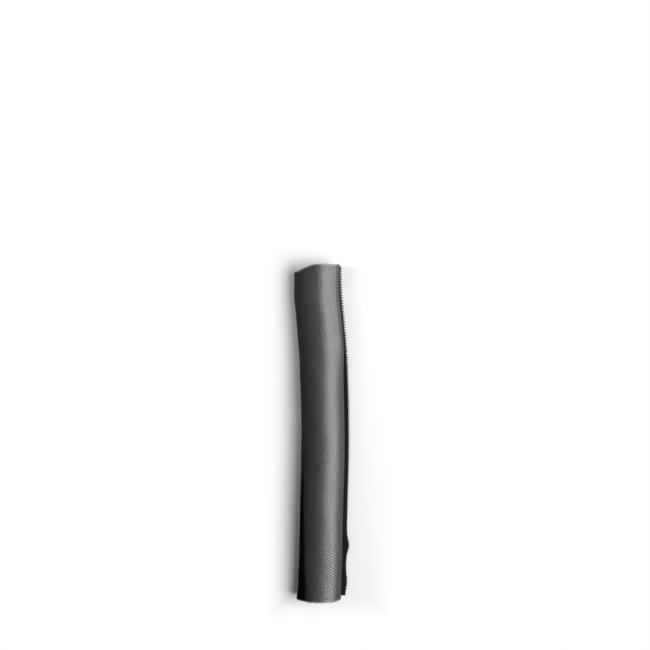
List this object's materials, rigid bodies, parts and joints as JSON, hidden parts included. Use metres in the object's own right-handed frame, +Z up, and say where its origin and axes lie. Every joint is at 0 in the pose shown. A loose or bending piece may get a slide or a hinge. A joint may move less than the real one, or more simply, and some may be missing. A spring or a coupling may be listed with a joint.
{
  "type": "self-wrapping cable sleeve",
  "caption": "Woven textile sleeve, one band heat-set into a curl whose long edges overlap, so that it closes by itself around a bundle of cables. It lies on its seam.",
  "frame": {"origin": "on the surface that the sleeve lies on, under the middle of its outline", "axes": "+Y along the sleeve to the end that is cut at a slant, +X to the side where the outer flap's free edge sticks out, +Z up"},
  "size_m": [0.0278, 0.1668, 0.0206],
  "materials": {
    "woven_polyester": "plain-woven dark grey polyester with a slight gloss, and a close-woven black border on each long edge"
  },
  "bodies": {
    "root": {"woven_band": "woven_polyester"}
  },
  "joints": []
}
